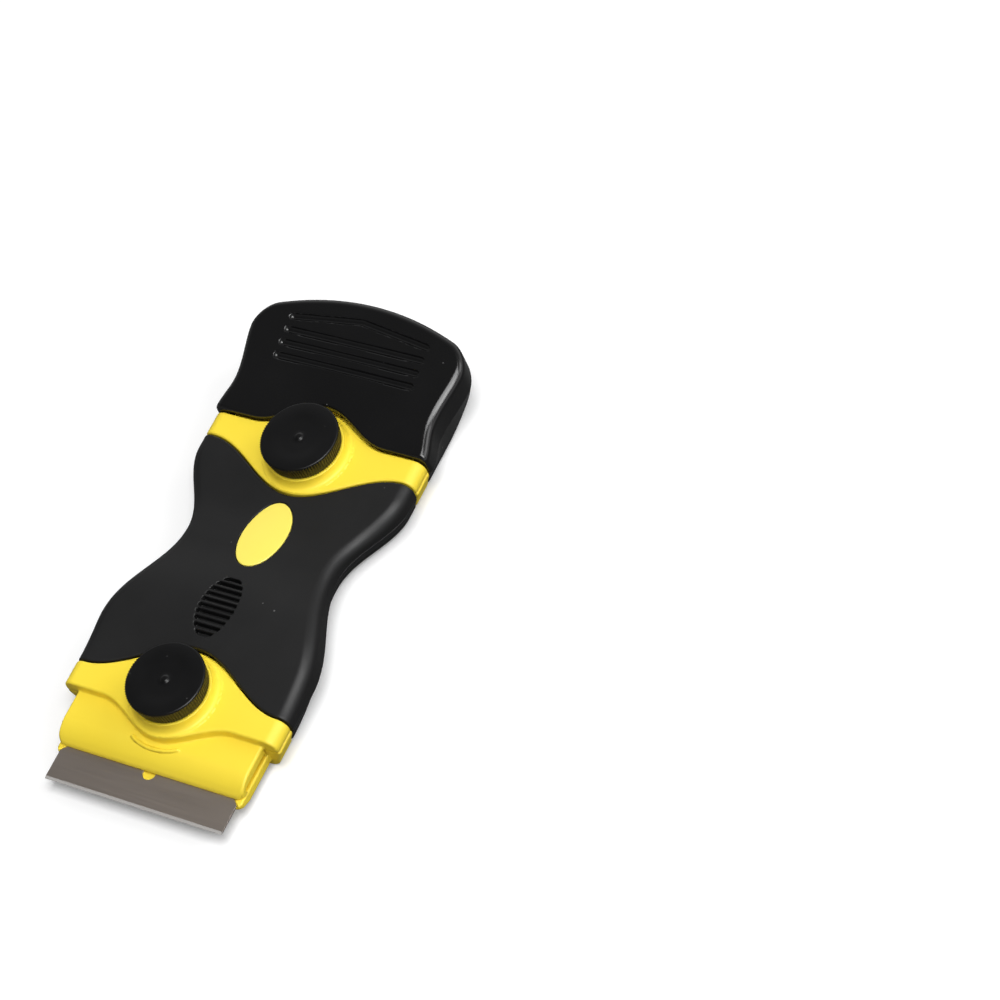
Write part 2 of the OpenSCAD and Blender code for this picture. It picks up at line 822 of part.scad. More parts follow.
// One grip groove: straight, or bent like a shallow roof
module cap_groove(y, bend) {
    depth_at = cap_height(y) - top_crown - cap_groove_depth;
    points = [[-cap_groove_half, y], [0, y + bend], [cap_groove_half, y]];
    translate([0, 0, depth_at])
        linear_extrude(cap_groove_depth + top_crown + cap_rise)
            polygon(concat(
                [for (p = points) [p.x, p.y - cap_groove_width / 2]],
                [for (i = [2:-1:0]) [points[i].x, points[i].y + cap_groove_width / 2]]
            ));
}

module rear_cap() {
    color(cap_colour)
        translate([0, knob_y, 0])
            difference() {
                cap_body();
                cap_cavity();
                cap_mouth_cut();
                for (i = [0:cap_groove_count - 1])
                    cap_groove(cap_groove_y + i * cap_groove_pitch,
                        i == cap_groove_count - 1 ? cap_groove_bend : 0);
            }
}

top_cover();
bottom_cover();
oval_inlay();
cover_screws();
core_frame();
at_front() clamp_nut();  // front_nut
at_rear() clamp_nut();  // rear_nut
at_front() clamp_plate();  // front_clamp_plate
at_rear() clamp_plate();  // rear_clamp_plate
at_front() knob();  // front_knob
at_rear() knob();  // rear_knob
at_front() clamp_screw();  // front_screw
at_rear() clamp_screw();  // rear_screw
at_front() blade();  // front_blade
at_rear() blade();  // rear_blade
rear_cap();
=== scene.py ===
import math

import bmesh
import bpy
import numpy as np
from mathutils import Matrix, Vector


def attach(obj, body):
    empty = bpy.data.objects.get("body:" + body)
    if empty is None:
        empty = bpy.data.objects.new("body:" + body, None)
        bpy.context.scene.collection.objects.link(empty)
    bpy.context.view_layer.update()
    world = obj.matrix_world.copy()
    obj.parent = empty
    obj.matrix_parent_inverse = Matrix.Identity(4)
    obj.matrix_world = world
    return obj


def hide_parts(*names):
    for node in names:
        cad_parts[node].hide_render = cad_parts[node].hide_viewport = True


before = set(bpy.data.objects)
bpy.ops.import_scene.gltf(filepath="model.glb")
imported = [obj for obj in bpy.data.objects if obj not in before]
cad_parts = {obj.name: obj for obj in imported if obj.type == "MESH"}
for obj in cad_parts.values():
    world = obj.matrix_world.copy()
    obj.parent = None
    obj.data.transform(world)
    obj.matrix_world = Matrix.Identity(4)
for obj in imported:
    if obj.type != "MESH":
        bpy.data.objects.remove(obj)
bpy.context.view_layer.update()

mm = 0.001
print("frame loaded:", len(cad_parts), "nodes")

# shapes shared by the handle, the collars and the cap, all in mm
body = {
    "knobY": 30.0,
    "endHeight": 10.0,
    "seam": 5.6,
    "shoulderHalf": 25.8,
    "waistHalf": 18.6,
    "waistY": 6.0,
    "frontTaper": 25.5,
    "rearTaper": 19.5,
    "humpRise": 2.3,
    "humpY": -11.0,
    "humpFront": 17.0,
    "humpRear": 20.0,
    "dipDepth": 0.9,
    "dipY": 15.0,
    "dipSpan": 10.0,
    "edgeRound": 2.5,
    "baseRound": 3.2,
    "draft": 1.3,
    "humpDraft": 1.2,
    "draftHeight": 2.8,
    "crown": 0.5,
    "wall": 1.8,
    "partGap": 0.3,
    "ringReach": 10.1,
    "armIn": 1.2,
    "armOut": 4.4,
    "waveIn": 23.6,
    "waveOut": 16.0,
}


def bell(t):
    return 0.5 + 0.5 * np.cos(np.pi * np.clip(np.abs(t), 0, 1))


def roundMax(a, b, r):
    return np.minimum(np.maximum(a, b), -r) + np.hypot(np.maximum(a + r, 0), np.maximum(b + r, 0))


def roundMin(a, b, r):
    return -roundMax(-a, -b, r)


def halfWidth(y):
    span = np.where(y < body["waistY"], body["frontTaper"], body["rearTaper"])
    waist = (body["shoulderHalf"] - body["waistHalf"]) * bell((y - body["waistY"]) / span)
    return body["shoulderHalf"] - waist


def humpShare(y):
    span = np.where(y < body["humpY"], body["humpFront"], body["humpRear"])
    return bell((y - body["humpY"]) / span)


def topHeight(y):
    dip = body["dipDepth"] * bell((y - body["dipY"]) / body["dipSpan"])
    return body["endHeight"] + body["humpRise"] * humpShare(y) - dip


def draftAt(y):
    return body["draft"] + body["humpDraft"] * humpShare(y)


def lowShare(z):
    return np.clip((body["seam"] - z) / body["draftHeight"], 0, 1)


def crownAt(y):
    return body["crown"] * bell(y / body["knobY"])


def steepness(curve, t, step=0.05):
    return np.sqrt(1 + ((curve(t + step) - curve(t - step)) / (2 * step)) ** 2)


# the two edges of a collar, measured from its knob
def waveIn(x):
    return body["armIn"] + (body["ringReach"] - body["armIn"]) * bell(x / body["waveIn"])


def waveOut(x):
    return body["armOut"] + (body["ringReach"] - body["armOut"]) * bell(x / body["waveOut"])


def handleField(x, y, z):
    half = halfWidth(y)
    side = (np.abs(x) - half + draftAt(y) * lowShare(z)) / steepness(halfWidth, y)
    top = (z - topHeight(y) + crownAt(y) * (x / half) ** 2) / steepness(topHeight, y)
    return roundMax(roundMax(side, top, body["edgeRound"]), -z, body["baseRound"])


def collarField(x, z):
    side = np.abs(x) - body["shoulderHalf"] + body["draft"] * lowShare(z)
    return roundMax(roundMax(side, z - body["endHeight"], body["edgeRound"]), -z, body["baseRound"])


def betweenCollars(x, y):
    edge = waveIn(x) + body["partGap"] - body["knobY"]
    return (edge + np.abs(y)) / steepness(waveIn, x)


def fieldSlope(field, p, step=0.01):
    rows = []
    for axis in range(3):
        shift = np.zeros(3)
        shift[axis] = step
        rows.append((field(*(p + shift).T) - field(*(p - shift).T)) / (2 * step))
    return np.stack(rows, 1)


# moves points onto the zero surface of a field
def settle(field, p, rounds, reach, leastSlope=0.3):
    for i in range(rounds):
        slope = fieldSlope(field, p)
        move = field(*p.T)[:, None] * slope / np.maximum((slope**2).sum(1, keepdims=True), leastSlope)
        p = p - np.clip(move, -reach, reach)
    return p


# meshes the zero surface of a distance field: one vertex per crossed cell, quads round crossed edges
def netMesh(field, low, high, cell):
    axes = [np.arange(low[i] - 2 * cell, high[i] + 2.5 * cell, cell) for i in range(3)]
    value = field(*np.meshgrid(*axes, indexing="ij"))
    inside = value < 0
    size = [n - 1 for n in value.shape]
    corners = [np.array((a, b, c)) for a in (0, 1) for b in (0, 1) for c in (0, 1)]
    count = sum(
        inside[a : a + size[0], b : b + size[1], c : c + size[2]].astype(np.int8) for a, b, c in corners
    )
    mixed = (count > 0) & (count < len(corners))
    index = np.full(mixed.shape, -1)
    index[mixed] = np.arange(mixed.sum())
    cells = np.stack(np.nonzero(mixed), 1)
    total = np.zeros((len(cells), 3))
    hits = np.zeros((len(cells), 1))
    for one in corners:
        for axis in range(3):
            if one[axis]:
                continue
            other = one.copy()
            other[axis] = 1
            v0 = value[tuple((cells + one).T)]
            v1 = value[tuple((cells + other).T)]
            cross = (v0 < 0) != (v1 < 0)
            t = np.where(cross, v0 / np.where(cross, v0 - v1, 1), 0)
            total += np.where(cross[:, None], one + t[:, None] * (other - one), 0)
            hits += cross[:, None]
    points = np.array([a[0] for a in axes]) + (cells + total / hits) * cell
    quads = []
    for axis in range(3):
        u, v = (axis + 1) % 3, (axis + 2) % 3
        first = [slice(1, -1)] * 3
        first[axis] = slice(0, -1)
        second = list(first)
        second[axis] = slice(1, None)
        a, b = inside[tuple(first)], inside[tuple(second)]
        at = np.stack(np.nonzero(a != b), 1)
        outward = a[tuple(at.T)]
        at[:, u] += 1
        at[:, v] += 1
        ring = []
        for du, dv in ((-1, -1), (0, -1), (0, 0), (-1, 0)):
            near = at.copy()
            near[:, u] += du
            near[:, v] += dv
            ring.append(index[tuple(near.T)])
        ring = np.stack(ring, 1)
        quads.append(np.where(outward[:, None], ring, ring[:, ::-1]))
    return settle(field, points, 3, cell / 2), np.concatenate(quads)


def meshPoints(mesh):
    flat = np.zeros(len(mesh.vertices) * 3)
    mesh.vertices.foreach_get("co", flat)
    return flat.reshape(-1, 3) / mm


# merges doubled points and drops the flat faces between them
def weld(mesh, gap=1e-7):
    made = bmesh.new()
    made.from_mesh(mesh)
    bmesh.ops.remove_doubles(made, verts=made.verts, dist=gap)
    made.to_mesh(mesh)
    made.free()


# a finished piece from a field in mm, thinned and put back on the exact surface
# grid: two corners of the space to mesh, cell size, share of faces kept
def moulded(name, field, grid, material):
    low, high, cell, keep = grid
    points, quads = netMesh(field, low, high, cell)
    mesh = bpy.data.meshes.new(name)
    mesh.from_pydata((points * mm).tolist(), [], quads.tolist())
    piece = bpy.data.objects.new(name, mesh)
    bpy.context.scene.collection.objects.link(piece)
    thin = piece.modifiers.new("thin", "DECIMATE")
    thin.ratio = keep
    thinned = plainMesh(piece).data
    p = settle(field, meshPoints(thinned), 2, cell / 3)
    thinned.vertices.foreach_set("co", (p * mm).ravel())
    weld(thinned)
    thinned.polygons.foreach_set("use_smooth", [True] * len(thinned.polygons))
    slope = fieldSlope(field, meshPoints(thinned))
    slope /= np.maximum(np.linalg.norm(slope, axis=1, keepdims=True), 1e-6)
    thinned.normals_split_custom_set_from_vertices(slope.tolist())
    thinned.materials.append(material)
    print("moulded", name, len(thinned.polygons), "faces")
    return piece


def smoothMesh(name, verts, faces, material):
    mesh = bpy.data.meshes.new(name)
    mesh.from_pydata([tuple(v) for v in verts], [], faces)
    mesh.polygons.foreach_set("use_smooth", [True] * len(mesh.polygons))
    mesh.materials.append(material)
    piece = bpy.data.objects.new(name, mesh)
    bpy.context.scene.collection.objects.link(piece)
    return piece


def plainMesh(piece):
    view = bpy.context.evaluated_depsgraph_get()
    made = bpy.data.meshes.new_from_object(piece.evaluated_get(view))
    piece.modifiers.clear()
    piece.data = made
    return piece


def setInput(modifier, name, value):
    for item in modifier.node_group.interface.items_tree:
        if item.item_type == "SOCKET" and item.in_out == "INPUT" and item.name == name:
            modifier[item.identifier] = value


def stand(piece, bodyName, slotName, *nodes):
    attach(piece, bodyName)
    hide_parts(*nodes)
    return piece


# node helpers
def nodeOf(tree, kind, **values):
    made = tree.nodes.new(kind)
    for key, value in values.items():
        setattr(made, key, value)
    return made


# sets a socket to a value or links it to another socket
def feed(tree, socket, value):
    if isinstance(value, bpy.types.NodeSocket):
        tree.links.new(value, socket)
    else:
        socket.default_value = value


def maths(tree, operation, *values):
    made = nodeOf(tree, "ShaderNodeMath", operation=operation)
    for socket, value in zip(made.inputs, values):
        feed(tree, socket, value)
    return made.outputs[0]


def ramp(tree, value, fromPair, toPair, kind="LINEAR"):
    made = nodeOf(tree, "ShaderNodeMapRange", interpolation_type=kind)
    feed(tree, made.inputs["Value"], value)
    for label, number in zip(("From Min", "From Max", "To Min", "To Max"), (*fromPair, *toPair)):
        made.inputs[label].default_value = number
    return made.outputs["Result"]


def colourMix(tree, factor, first, second):
    made = nodeOf(tree, "ShaderNodeMix", data_type="RGBA")
    for label, value in (("Factor", factor), ("A", first), ("B", second)):
        feed(tree, made.inputs[label], value)
    return made.outputs["Result"]


def bumped(tree, height, strength, depth):
    made = nodeOf(tree, "ShaderNodeBump")
    for label, value in (("Height", height), ("Strength", strength), ("Distance", depth)):
        feed(tree, made.inputs[label], value)
    return made.outputs["Normal"]


def newGroup(name, inputs, outputs):
    group = bpy.data.node_groups.new(name, "ShaderNodeTree")
    for label, default in inputs:
        socket = group.interface.new_socket(label, in_out="INPUT", socket_type="NodeSocketFloat")
        socket.default_value = default
    for label in outputs:
        group.interface.new_socket(label, in_out="OUTPUT", socket_type="NodeSocketFloat")
    return group, group.nodes.new("NodeGroupInput"), group.nodes.new("NodeGroupOutput")


def placed(tree, group, values):
    made = nodeOf(tree, "ShaderNodeGroup", node_tree=group)
    for label, value in values.items():
        made.inputs[label].default_value = value
    return made.outputs


def newFinish(name):
    material = bpy.data.materials.new(name)
    material.use_nodes = True
    return material, material.node_tree, material.node_tree.nodes["Principled BSDF"]


# finishes
finish = {
    "fineDetail": 3.0,
    "cloudDetail": 4.0,
    "brushDetail": 6.0,
    "grainDepth": 0.00005,  # m
    "brushDepth": 0.00002,
}


def buildGrain():
    inputs = [("Scale", 1500.0), ("Cloud Scale", 90.0)]
    group, into, out = newGroup("mouldGrain", inputs, ["Height", "Cloud"])
    place = nodeOf(group, "ShaderNodeTexCoord")
    for scale, detail, result in (("Scale", "fineDetail", "Height"), ("Cloud Scale", "cloudDetail", "Cloud")):
        noise = nodeOf(group, "ShaderNodeTexNoise")
        noise.inputs["Detail"].default_value = finish[detail]
        feed(group, noise.inputs["Vector"], place.outputs["Object"])
        feed(group, noise.inputs["Scale"], into.outputs[scale])
        feed(group, out.inputs[result], noise.outputs["Fac"])
    return group


def buildDust():
    inputs = [("Scale", 420.0), ("Size", 0.1), ("Amount", 0.35)]
    group, into, out = newGroup("dustSpecks", inputs, ["Mask"])
    place = nodeOf(group, "ShaderNodeTexCoord")
    grains = nodeOf(group, "ShaderNodeTexVoronoi", feature="F1")
    pick = nodeOf(group, "ShaderNodeTexWhiteNoise", noise_dimensions="3D")
    feed(group, grains.inputs["Vector"], place.outputs["Object"])
    feed(group, grains.inputs["Scale"], into.outputs["Scale"])
    feed(group, pick.inputs["Vector"], grains.outputs["Color"])
    small = maths(group, "LESS_THAN", grains.outputs["Distance"], into.outputs["Size"])
    some = maths(group, "LESS_THAN", pick.outputs["Value"], into.outputs["Amount"])
    feed(group, out.inputs["Mask"], maths(group, "MULTIPLY", small, some))
    return group


grainGroup = buildGrain()
dustGroup = buildDust()


# moulded plastic: base colour with a slow cloud, fine grain in the gloss and a few specks
def plastic(name, settings):
    material, tree, shader = newFinish(name)
    grain = placed(tree, grainGroup, {"Scale": settings["grainScale"], "Cloud Scale": settings["cloudScale"]})
    dustLabels = (("Scale", "dustScale"), ("Size", "dustSize"), ("Amount", "dustAmount"))
    dust = placed(tree, dustGroup, {label: settings[key] for label, key in dustLabels})
    tone = colourMix(tree, grain["Cloud"], (*settings["dark"], 1), (*settings["light"], 1))
    feed(tree, shader.inputs["Base Color"], colourMix(tree, dust["Mask"], tone, (*settings["dust"], 1)))
    feed(tree, shader.inputs["Roughness"], ramp(tree, grain["Cloud"], (0, 1), settings["rough"]))
    normal = bumped(tree, grain["Height"], settings["bump"], finish["grainDepth"])
    feed(tree, shader.inputs["Normal"], normal)
    shader.inputs["Specular IOR Level"].default_value = settings["specular"]
    return material


# steel: a slow cloud in the colour, brush lines in the gloss
def metal(name, settings):
    material, tree, shader = newFinish(name)
    shader.inputs["Metallic"].default_value = settings["metallic"]
    place = nodeOf(tree, "ShaderNodeTexCoord")
    turn = nodeOf(tree, "ShaderNodeMapping")
    turn.inputs["Scale"].default_value = settings["brush"]
    feed(tree, turn.inputs["Vector"], place.outputs["Object"])
    brush = nodeOf(tree, "ShaderNodeTexNoise")
    brush.inputs["Scale"].default_value = 1.0
    brush.inputs["Detail"].default_value = finish["brushDetail"]
    feed(tree, brush.inputs["Vector"], turn.outputs["Vector"])
    grain = placed(tree, grainGroup, {"Cloud Scale": settings["cloudScale"]})
    tone = colourMix(tree, grain["Cloud"], (*settings["dark"], 1), (*settings["light"], 1))
    feed(tree, shader.inputs["Base Color"], tone)
    feed(tree, shader.inputs["Roughness"], ramp(tree, brush.outputs["Fac"], (0, 1), settings["rough"]))
    normal = bumped(tree, brush.outputs["Fac"], settings["bump"], finish["brushDepth"])
    feed(tree, shader.inputs["Normal"], normal)
    return material


handleBlack = plastic("handleBlack", {
    "dark": (0.007, 0.007, 0.0072), "light": (0.0115, 0.0115, 0.0118),
    "rough": (0.4, 0.5), "specular": 0.28, "bump": 0.25, "grainScale": 2600.0, "cloudScale": 70.0,
    "dust": (0.1, 0.1, 0.1), "dustScale": 430.0, "dustSize": 0.09, "dustAmount": 0.16,
})
capBlack = plastic("capBlack", {
    "dark": (0.0035, 0.0035, 0.0037), "light": (0.006, 0.006, 0.0063),
    "rough": (0.17, 0.24), "specular": 0.5, "bump": 0.1, "grainScale": 2200.0, "cloudScale": 60.0,
    "dust": (0.08, 0.08, 0.08), "dustScale": 380.0, "dustSize": 0.07, "dustAmount": 0.1,
})
knobBlack = plastic("knobBlack", {
    "dark": (0.003, 0.003, 0.0032), "light": (0.005, 0.005, 0.0053),
    "rough": (0.26, 0.34), "specular": 0.25, "bump": 0.15, "grainScale": 2400.0, "cloudScale": 160.0,
    "dust": (0.06, 0.06, 0.06), "dustScale": 500.0, "dustSize": 0.07, "dustAmount": 0.1,
})
clampYellow = plastic("clampYellow", {
    "dark": (0.95, 0.705, 0.036), "light": (0.98, 0.77, 0.055),
    "rough": (0.42, 0.5), "specular": 0.4, "bump": 0.1, "grainScale": 1800.0, "cloudScale": 50.0,
    "dust": (0.5, 0.33, 0.02), "dustScale": 260.0, "dustSize": 0.07, "dustAmount": 0.05,
})
inlayYellow = plastic("inlayYellow", {
    "dark": (0.95, 0.79, 0.11), "light": (0.98, 0.84, 0.15),
    "rough": (0.28, 0.36), "specular": 0.45, "bump": 0.1, "grainScale": 1800.0, "cloudScale": 80.0,
    "dust": (0.6, 0.42, 0.03), "dustScale": 300.0, "dustSize": 0.06, "dustAmount": 0.05,
})
bladeSteel = metal("bladeSteel", {
    "dark": (0.36, 0.312, 0.277), "light": (0.45, 0.392, 0.348), "metallic": 1.0,
    "rough": (0.34, 0.46), "bump": 0.2, "brush": (60.0, 2400.0, 900.0), "cloudScale": 30.0,
})
# ground edge: its own brush lines, plus a paler, less metallic tone that is a painted highlight along the
# edge
groundEdgeWithHighlight = metal("groundEdgeWithHighlight", {
    "dark": (0.42, 0.4, 0.38), "light": (0.52, 0.5, 0.48), "metallic": 0.3,
    "rough": (0.4, 0.5), "bump": 0.3, "brush": (4200.0, 200.0, 200.0), "cloudScale": 120.0,
})
screwSteel = metal("screwSteel", {
    "dark": (0.5, 0.5, 0.5), "light": (0.6, 0.6, 0.59), "metallic": 1.0,
    "rough": (0.28, 0.4), "bump": 0.2, "brush": (900.0, 900.0, 900.0), "cloudScale": 200.0,
})
print("finishes made")

# handle covers and inlay
covers = {
    "collarRound": 0.35,
    "seamLine": 0.05,
    "seamRound": 0.25,
    "inlay": (0.0, 9.3, 5.0, 8.3),  # middle x and y, half width, half length
    "inlayThick": 1.0,
    "inlayDome": 0.2,
    "inlayProud": 0.02,
    "inlayRound": 0.22,
    "seatGap": 0.1,
    "seatRound": 0.12,
    "slots": (-9.8, 4.2, 7.3),  # middle y, half width, half length
    "slotCount": 10,
    "slotWidth": 0.9,
    "slotDepth": 1.5,
    "slotPad": (0.6, 2.0),  # extra wall under the slots and its reach round them
    "slotEndGap": 0.1,
    "slotRounds": (0.2, 0.15),  # in plan and at the lip
    "screws": [(-11.0, -13.0), (11.0, -13.0), (-11.0, 14.0), (11.0, 14.0)],
    "bossRadius": 2.7,
    "padReach": 1.8,
    "padTop": 2.6,
    "padRound": 0.1,
    "headRadius": 2.5,
    "headDepth": 1.3,
    "headRound": 0.12,
    "topGrid": ((-26.2, -29.6, 5.4), (26.2, 29.6, 12.9), 0.3, 0.4),
    "bottomGrid": ((-26.2, -29.6, -0.2), (26.2, 29.6, 5.8), 0.35, 0.4),
    "inlayGrid": ((-5.2, 0.8, 7.8), (5.2, 17.8, 11.6), 0.18, 0.35),
}


def ellipse(x, y, a, b):
    k = np.hypot(x / a, y / b)
    steep = np.hypot(x / a**2, y / b**2)
    return np.where(k > 1e-6, k * (k - 1) / np.maximum(steep, 1e-6), -a)


def ovalField(x, y, grow):
    cx, cy, a, b = covers["inlay"]
    return ellipse(x - cx, y - cy, a + grow, b + grow)


def slotField(x, y):
    middle, halfX, halfY = covers["slots"]
    pitch = 2 * halfY / covers["slotCount"]
    number = np.clip(np.floor((y - middle + halfY) / pitch), 0, covers["slotCount"] - 1)
    away = np.abs(y - middle - pitch * (number + 0.5) + halfY)
    oval = ellipse(x, y - middle, halfX, halfY + covers["slotEndGap"])
    return roundMax(away - covers["slotWidth"] / 2, oval, covers["slotRounds"][0])


def slotPad(x, y):
    middle, halfX, halfY = covers["slots"]
    thick, reach = covers["slotPad"]
    return thick * np.clip(-ellipse(x, y - middle, halfX + reach, halfY + reach), 0, 1)


def coverShell(x, y, z, extra=0.0):
    outside = handleField(x, y, z)
    solid = roundMax(outside, betweenCollars(x, y), covers["collarRound"])
    return np.maximum(solid, -(outside + body["wall"] + extra))


def bossField(x, y):
    return np.min([np.hypot(x - sx, y - sy) for sx, sy in covers["screws"]], axis=0)


def topCoverField(x, y, z):
    shell = coverShell(x, y, z, slotPad(x, y))
    shell = roundMax(shell, body["seam"] + covers["seamLine"] - z, covers["seamRound"])
    depth = z - topHeight(y)
    slots = np.maximum(slotField(x, y), -depth - covers["slotDepth"])
    shell = roundMax(shell, -slots, covers["slotRounds"][1])
    seatFloor = -depth - covers["inlayThick"] - covers["inlayProud"]
    seat = np.maximum(ovalField(x, y, covers["seatGap"]), seatFloor)
    return roundMax(shell, -seat, covers["seatRound"])


def bottomCoverField(x, y, z):
    shell = roundMax(coverShell(x, y, z), z - body["seam"] + covers["seamLine"], covers["seamRound"])
    boss = bossField(x, y)
    pad = np.maximum(boss - covers["bossRadius"] - covers["padReach"], z - covers["padTop"])
    shell = np.minimum(shell, roundMax(pad, -z, covers["padRound"]))
    recess = np.maximum(boss - covers["headRadius"], z - covers["headDepth"])
    return roundMax(shell, -recess, covers["headRound"])


def inlayField(x, y, z):
    depth = z - topHeight(y) + crownAt(y) * (x / halfWidth(y)) ** 2
    cx, cy, a, b = covers["inlay"]
    dome = covers["inlayDome"] * np.clip(1 - np.hypot((x - cx) / a, (y - cy) / b) ** 2, 0, 1)
    top = roundMax(depth - covers["inlayProud"] - dome, ovalField(x, y, 0.0), covers["inlayRound"])
    return np.maximum(top, -depth - covers["inlayThick"])


topCover = moulded("topCover", topCoverField, covers["topGrid"], handleBlack)
stand(topCover, "handle", "handle_black", "top_cover")
bottomCover = moulded("bottomCover", bottomCoverField, covers["bottomGrid"], handleBlack)
stand(bottomCover, "handle", "handle_black", "bottom_cover")
inlay = moulded("ovalInlay", inlayField, covers["inlayGrid"], inlayYellow)
stand(inlay, "handle", "inlay_yellow", "oval_inlay")

# clamp plates and core
jaws = {
    "plateLow": 6.7,
    "plateRounds": (0.45, 0.25),  # at the waves and underneath
    "jawTop": 7.8,
    "jawHalf": 22.5,
    "jawRound": 0.55,
    "jawBlend": 0.35,
    "under": 4.45,
    "underRound": 0.2,
    "lipReach": 15.5,
    "lipThick": 0.8,
    "lipSlope": 2.8,
    "lipRound": 1.6,
    "lipCorner": 1.6,
    "groove": (1.3, 0.8, 0.6),  # height, depth, distance from the collar
    "grooveRound": 0.2,
    "arc": (11.85, 0.4, 5.7),  # radius, thickness, half length
    "arcBlend": 0.15,
    "seat": (8.5, 9.8, 12.15, 5.9),  # top radius, foot radius, top, hole radius
    "seatSink": 1.0,
    "seatRound": 0.2,
    "seatBlend": 0.3,
    "holeRound": 0.1,
    "bore": 2.25,
    "blockTop": 6.4,
    "blockRounds": (0.4, 0.25),  # at the wave and on top
    "lowerReach": 17.1,
    "lowerCorner": 1.4,
    "lowerRound": 0.5,
    "chinDrop": 0.8,
    "chinSlope": (0.94, 0.34),
    "floor": 2.0,
    "deck": 3.95,
    "rail": 4.4,
    "railRound": 0.3,
    "pocketBack": (19.8, 7.8),  # half width, distance from the knob
    "pocketFront": (21.6, 14.7),
    "pocketSlant": 5.1,
    "pocketRound": 0.12,
    "hexHalf": 3.6,
    "hexTurn": (0.866, 0.5),  # cosine and sine of 30 degrees
    "nutTop": 4.0,
    "nutRound": 0.15,
    "spine": (14.4, 22.2, 4.0, 1.4),  # half width, half length, middle height, half height
    "bossGap": 0.1,
    "frontGrid": ((-26, -46.6, 4.3), (26, -19.8, 12.3), 0.3, 0.4),
    "rearGrid": ((-26, 19.8, 4.3), (26, 46.6, 12.3), 0.3, 0.4),
    "coreGrid": ((-26, -47.6, -0.2), (26, 47.6, 6.5), 0.35, 0.35),
}


# one end's field, with its knob at the origin and its blade towards -y
def localFront(field):
    return lambda x, y, z: field(x, y + body["knobY"], z)


def localRear(field):
    return lambda x, y, z: field(-x, body["knobY"] - y, z)


def clampField(x, y, z):
    edgeIn = (y - waveIn(x)) / steepness(waveIn, x)
    edgeOut = (-y - waveOut(x)) / steepness(waveOut, x)
    plate = roundMax(collarField(x, z), np.maximum(edgeIn, edgeOut), jaws["plateRounds"][0])
    plate = roundMax(plate, jaws["plateLow"] - z, jaws["plateRounds"][1])
    # upper jaw with its sloped lip
    run, rise = jaws["lipSlope"], jaws["jawTop"] - jaws["under"] - jaws["lipThick"]
    slope = (z - jaws["under"] - jaws["lipThick"]) * run - (y + jaws["lipReach"]) * rise
    top = roundMax(z - jaws["jawTop"], slope / math.hypot(run, rise), jaws["lipRound"])
    jaw = roundMax(np.abs(x) - jaws["jawHalf"], -y - jaws["lipReach"], jaws["lipCorner"])
    jaw = roundMax(jaw, top, jaws["jawRound"])
    ahead = y + body["armOut"]
    low = np.maximum(jaws["under"] - z, ahead + body["partGap"])
    low = np.minimum(low, jaws["plateLow"] - z)
    jaw = roundMax(jaw, np.maximum(low, y), jaws["underRound"])
    piece = roundMin(plate, jaw, jaws["jawBlend"])
    # groove along the jaw's sides
    height, depth, gap = jaws["groove"]
    end = np.maximum(-y - jaws["lipReach"] + jaws["lipSlope"], 0)
    groove = np.hypot(end, z - jaws["under"] - height / 2) - height / 2
    groove = np.maximum(groove, jaws["jawHalf"] - depth - np.abs(x))
    piece = roundMax(piece, -np.maximum(groove, ahead + gap), jaws["grooveRound"])
    # raised arc on the jaw
    radius, thick, spread = jaws["arc"]
    angle = np.clip(np.arctan2(x, -y), -spread / radius, spread / radius)
    bead = np.hypot(x - radius * np.sin(angle), y + radius * np.cos(angle))
    bead = np.hypot(bead, z - jaws["jawTop"]) - thick
    piece = roundMin(piece, bead, jaws["arcBlend"])
    # seat under the knob
    seatTop, seatFoot, seatLevel, seatHole = jaws["seat"]
    r = np.hypot(x, y)
    flank = ellipse(r - seatFoot, z - seatLevel, seatFoot - seatTop, seatLevel - body["endHeight"])
    seat = roundMax(np.maximum(r - seatFoot, -flank), z - seatLevel, jaws["seatRound"])
    seat = np.maximum(seat, jaws["plateLow"] + jaws["seatSink"] - z)
    piece = roundMin(piece, seat, jaws["seatBlend"])
    hole = np.maximum(r - seatHole, body["endHeight"] - z)
    piece = roundMax(piece, -hole, jaws["holeRound"])
    return np.maximum(piece, jaws["bore"] - r)


def coreEndField(x, y, z):
    band = np.maximum((y - waveIn(x)) / steepness(waveIn, x), -y - body["armOut"])
    block = roundMax(collarField(x, z), band, jaws["blockRounds"][0])
    block = roundMax(block, z - jaws["blockTop"], jaws["blockRounds"][1])
    # lower jaw, its underside sloped up to the lip
    fall, run = jaws["chinSlope"]
    chin = (jaws["deck"] - jaws["chinDrop"] - z) * fall - (y + jaws["lowerReach"]) * run
    jaw = roundMax(np.abs(x) - jaws["jawHalf"], -y - jaws["lowerReach"], jaws["lowerCorner"])
    jaw = roundMax(jaw, np.maximum(jaws["floor"] - z, chin), jaws["lowerRound"])
    jaw = roundMax(jaw, z - jaws["rail"], jaws["railRound"])
    # pocket in the shape of the blade's tail
    backHalf, backY = jaws["pocketBack"]
    frontHalf, frontY = jaws["pocketFront"]
    back = np.maximum(np.abs(x) - backHalf, y + backY)
    slant = (np.abs(x) + y - jaws["pocketSlant"]) / math.sqrt(2)
    front = np.maximum(np.abs(x) - frontHalf, np.maximum(y + frontY, slant))
    pocket = np.maximum(np.minimum(back, front), jaws["deck"] - z)
    jaw = roundMax(jaw, -pocket, jaws["pocketRound"])
    piece = np.minimum(block, np.maximum(jaw, y))
    # six-sided pocket for the nut
    across, along = x * jaws["hexTurn"][0], y * jaws["hexTurn"][1]
    nut = np.maximum(np.abs(across + along), np.abs(across - along))
    nut = np.maximum(np.abs(y), nut) - jaws["hexHalf"]
    piece = roundMax(piece, -np.maximum(nut, z - jaws["nutTop"]), jaws["nutRound"])
    return np.maximum(piece, jaws["bore"] - np.hypot(x, y))


